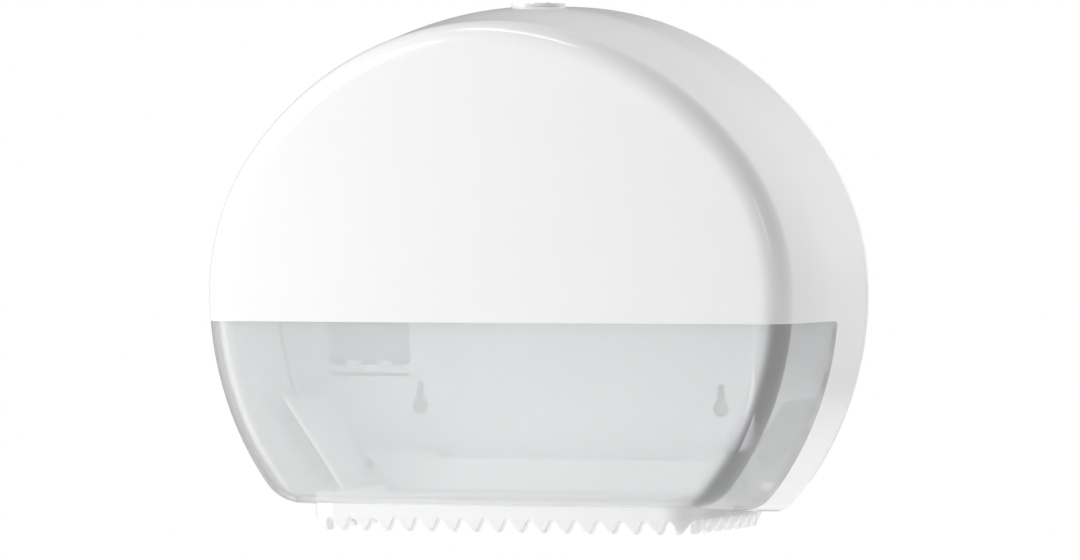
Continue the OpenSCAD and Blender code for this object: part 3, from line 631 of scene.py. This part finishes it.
def window_plastic(name, color, painted_shade_color, haze, thick):
    """Translucent plastic with painted shade: darker in colour, and holding back more of what lies
    behind, where the attribute is high along the rounding.
    """
    material = plastic(name, color, 0.13, variation=0.01, grain=0.015, bump=0.02)
    tree = material.node_tree
    shader = tree.nodes["Principled BSDF"]
    shades = shader.inputs["Base Color"].links[0].from_node
    depth = add_node(tree, "Attribute")
    depth.attribute_name = "depth"
    tint = add_node(tree, "Mix")
    tint.data_type = "RGBA"
    tint.inputs[7].default_value = painted_shade_color + (1,)
    link(tree, depth.outputs["Fac"], tint.inputs[0])
    link(tree, shades.outputs[2], tint.inputs[6])
    link(tree, tint.outputs[2], shader.inputs["Base Color"])
    amount = add_node(tree, "MapRange", {"To Min": haze, "To Max": thick})
    link(tree, depth.outputs["Fac"], amount.inputs["Value"])
    link(tree, amount.outputs["Result"], shader.inputs["Alpha"])
    return material


white = plastic("white_gloss_plastic", (0.86, 0.863, 0.866), 0.13)
plate_white = plastic("plate_plastic", (0.82, 0.825, 0.83), 0.45, grain=0.05, bump=0.08)
grey = plastic("grey_plastic", (0.42, 0.43, 0.44), 0.4, grain=0.05, bump=0.08)
hub_grey = plastic("hub_plastic", (0.62, 0.63, 0.64), 0.35, grain=0.04)
bush = plastic("bush_plastic", (0.78, 0.76, 0.7), 0.4)
black = plastic("black_plastic", (0.03, 0.03, 0.032), 0.35, variation=0.006)
rubber = plastic("washer_rubber", (0.04, 0.04, 0.042), 0.7, variation=0.01, bump=0.2)
# The darker second colour is painted shade along the window's rounding
clear = window_plastic("window_plastic", (0.71, 0.715, 0.722), (0.36, 0.363, 0.37), 0.5, 0.97)
steel = metal("bracket_steel", (0.62, 0.63, 0.65), 0.32, (40, 40, 900))
screw = metal("screw_steel", (0.66, 0.67, 0.68), 0.28, (300, 300, 300))
nickel = metal("lock_metal", (0.88, 0.88, 0.87), 0.25, (200, 200, 200), bump=0.02)

FINISH = {
    "white_plastic": white, "plate_plastic": plate_white, "window_plastic": clear, "grey_plastic": grey,
    "hub_plastic": hub_grey, "bush_plastic": bush, "black_plastic": black, "washer_rubber": rubber,
    "screw_steel": screw, "bracket_steel": steel, "lock_metal": nickel,
}


def paint(obj, material):
    obj.data.materials.clear()
    obj.data.materials.append(material)


for part in frame["record"]["subparts"]:
    paint(nodes[part["node"]], FINISH[part["material_slot"]])
    shade(nodes[part["node"]], 30)
paint(shell, white)
paint(window, clear)
paint(skirt, white)
# The window lets the light through to what lies behind it
window.visible_shadow = False

# ---------------------------------------------------------------------------
# Stage: floor, wall behind the plate, light and camera
# ---------------------------------------------------------------------------
SEEN = ("Is Camera Ray", "Is Glossy Ray", "Is Transmission Ray")
WHITE = (1, 1, 1, 1)
DAYLIGHT = 0.42
GLOSS_FRONT, GLOSS_BACK = 1.0, 0.25
FLOOR_HALF, FLOOR_DEPTH = 3000, -800
FLOOR_GLOW_SHARE = 0.6


def seen_directly(tree):
    """1 for what the camera, a gloss or a glass sees, else 0."""
    path = add_node(tree, "LightPath")
    total = path.outputs[SEEN[0]]
    for name in SEEN[1:]:
        add = add_node(tree, "Math")
        add.operation = "MAXIMUM"
        link(tree, total, add.inputs[0])
        link(tree, path.outputs[name], add.inputs[1])
        total = add.outputs[0]
    return total


def blended(tree, share, first, second):
    """A mix of two shaders."""
    mix = add_node(tree, "MixShader")
    for output, socket in zip((share, first.outputs[0], second.outputs[0]), mix.inputs):
        link(tree, output, socket)
    return mix


def bare_tree(owner):
    """Node tree of a new world or material, without nodes."""
    owner.use_nodes = True
    owner.node_tree.nodes.clear()
    return owner.node_tree


world = bpy.data.worlds.new("studio")
scene.world = world
tree = bare_tree(world)
plain = add_node(tree, "Background", {"Color": WHITE, "Strength": DAYLIGHT})
backdrop = add_node(tree, "Background", {"Color": WHITE, "Strength": 1.0})
# The room behind the object is dimmer in its gloss, so that edges seen flat stand out
room = add_node(tree, "Background", {"Color": WHITE})
direction = add_node(tree, "TexCoord")
parts = add_node(tree, "SeparateXYZ")
link(tree, direction.outputs["Generated"], parts.inputs[0])
level = add_node(tree, "MapRange", {"From Min": 0.1, "From Max": 0.9,
                                    "To Min": GLOSS_FRONT, "To Max": GLOSS_BACK})
link(tree, parts.outputs["Y"], level.inputs["Value"])
link(tree, level.outputs["Result"], room.inputs["Strength"])
glossy = blended(tree, add_node(tree, "LightPath").outputs["Is Glossy Ray"], backdrop, room)
whole = blended(tree, seen_directly(tree), plain, glossy)
link(tree, whole.outputs[0], add_node(tree, "OutputWorld").inputs[0])

floor = make_object("floor", [(x * FLOOR_HALF, y * FLOOR_HALF, FLOOR_DEPTH)
                              for x, y in ((-1, -1), (1, -1), (1, 1), (-1, 1))], [(0, 1, 2, 3)])
material = bpy.data.materials.new("floor")
tree = bare_tree(material)
diffuse = add_node(tree, "BsdfDiffuse", {"Color": (0.9, 0.9, 0.9, 1)})
glow = add_node(tree, "Emission", {"Color": WHITE, "Strength": 1.0})
share = add_node(tree, "Math")
share.operation = "MULTIPLY"
share.inputs[1].default_value = FLOOR_GLOW_SHARE
link(tree, seen_directly(tree), share.inputs[0])
whole = blended(tree, share.outputs[0], diffuse, glow)
link(tree, whole.outputs[0], add_node(tree, "OutputMaterial").inputs[0])
floor.data.materials.append(material)

# The bit of wall that the plate covers, seen through the keyholes only; its grey, darker than a wall's,
# is painted shade
BEHIND_PLATE = 0.4
patch_outline = [(-108, 20), (108, 20), (150, 60), (150, 150),
                 (95, 235), (-95, 235), (-150, 150), (-150, 60)]
shaded_wall_patch = make_object("wall_behind_painted_shade", [(x, BEHIND_PLATE, lift(h)) for x, h in patch_outline],
                         [tuple(range(len(patch_outline)))])
material = bpy.data.materials.new("wall_behind_painted_shade")
tree = bare_tree(material)
# Dark grey as painted shade behind the plate
diffuse = add_node(tree, "BsdfDiffuse", {"Color": (0.42, 0.42, 0.42, 1)})
nothing = add_node(tree, "BsdfTransparent")
side = add_node(tree, "NewGeometry")
whole = blended(tree, side.outputs["Backfacing"], diffuse, nothing)
link(tree, whole.outputs[0], add_node(tree, "OutputMaterial").inputs[0])
shaded_wall_patch.data.materials.append(material)

TARGET = Vector((0.0, -0.06, lift(135) / 1000))
LAMP_DISTANCE = 2.5


def outward(azimuth, elevation):
    """Direction from the object; azimuth 0 is in front of it and 90 to its right."""
    a, e = math.radians(azimuth), math.radians(elevation)
    return Vector((math.sin(a) * math.cos(e), -math.cos(a) * math.cos(e), math.sin(e)))


def area_light(name, width, height, power):
    """A rectangular light, in metres and watts."""
    data = bpy.data.lights.new(name, "AREA")
    data.shape, data.size, data.size_y, data.energy = "RECTANGLE", width, height, power
    obj = bpy.data.objects.new(name, data)
    scene.collection.objects.link(obj)
    return obj


def lamp(name, azimuth, elevation, width, height, power):
    """A soft box round the object, turned to it."""
    back = outward(azimuth, elevation)
    obj = area_light(name, width, height, power)
    obj.location = TARGET + back * LAMP_DISTANCE
    obj.rotation_mode = "QUATERNION"
    obj.rotation_quaternion = (-back).to_track_quat("-Z", "Y")
    return obj


lamp("key", -52, 12, 1.2, 2.6, 49)
# A strip from the front to the left, high up, for the gloss along the upper rounding
strip = lamp("strip", -44, 68, 1.6, 0.25, 8)
front_end, left_end = Vector((0.004, -0.581, 0.814)), Vector((-0.480, -0.013, 0.877))
facing = (strip.location - TARGET).normalized()
along = left_end - front_end
along = (along - facing * along.dot(facing)).normalized()
across = facing.cross(along)
strip.rotation_quaternion = Matrix((along, across, facing)).transposed().to_quaternion()
lamp("spot", 49, 18, 0.2, 0.7, 1.4)
rim = lamp("rim", 158, 21, 1.6, 1.6, 76)
rim.visible_glossy = False

# Light on the plate, from just behind the front of the cover
inside = area_light("inside", 0.26, 0.11, 0.075)
inside.location = (0.02, -0.112, lift(92) / 1000)
inside.rotation_euler = (math.radians(90), 0, 0)
inside.visible_camera = inside.visible_glossy = inside.visible_transmission = False

# The camera stands where the photograph was taken from
AZIMUTH, ELEVATION, ROLL = 22.69, 1.24, 0.29
FOCAL_PX, IMAGE_W = 8412.6, 1080.0
SENSOR_MM = 36.0
CAMERA_X, CAMERA_Y, CAMERA_H = 1.74255, -4.21057, 0.22232
back = outward(AZIMUTH, ELEVATION)
right = Vector((math.cos(math.radians(AZIMUTH)), math.sin(math.radians(AZIMUTH)), 0))
up = back.cross(right)
r = math.radians(ROLL)
rolled_right = right * math.cos(r) - up * math.sin(r)
rolled_up = right * math.sin(r) + up * math.cos(r)
camera_data = bpy.data.cameras.new("camera")
camera_data.sensor_fit = "HORIZONTAL"
camera_data.sensor_width = SENSOR_MM
camera_data.lens = FOCAL_PX / IMAGE_W * SENSOR_MM
camera_data.clip_start, camera_data.clip_end = 0.1, 60
camera = bpy.data.objects.new("camera", camera_data)
scene.collection.objects.link(camera)
camera.matrix_world = Matrix((
    (rolled_right.x, rolled_up.x, back.x, CAMERA_X),
    (rolled_right.y, rolled_up.y, back.y, CAMERA_Y),
    (rolled_right.z, rolled_up.z, back.z, CAMERA_H - SCREW_LINE_H / 1000),
    (0, 0, 0, 1)))
scene.camera = camera
scene.view_settings.view_transform = "Standard"
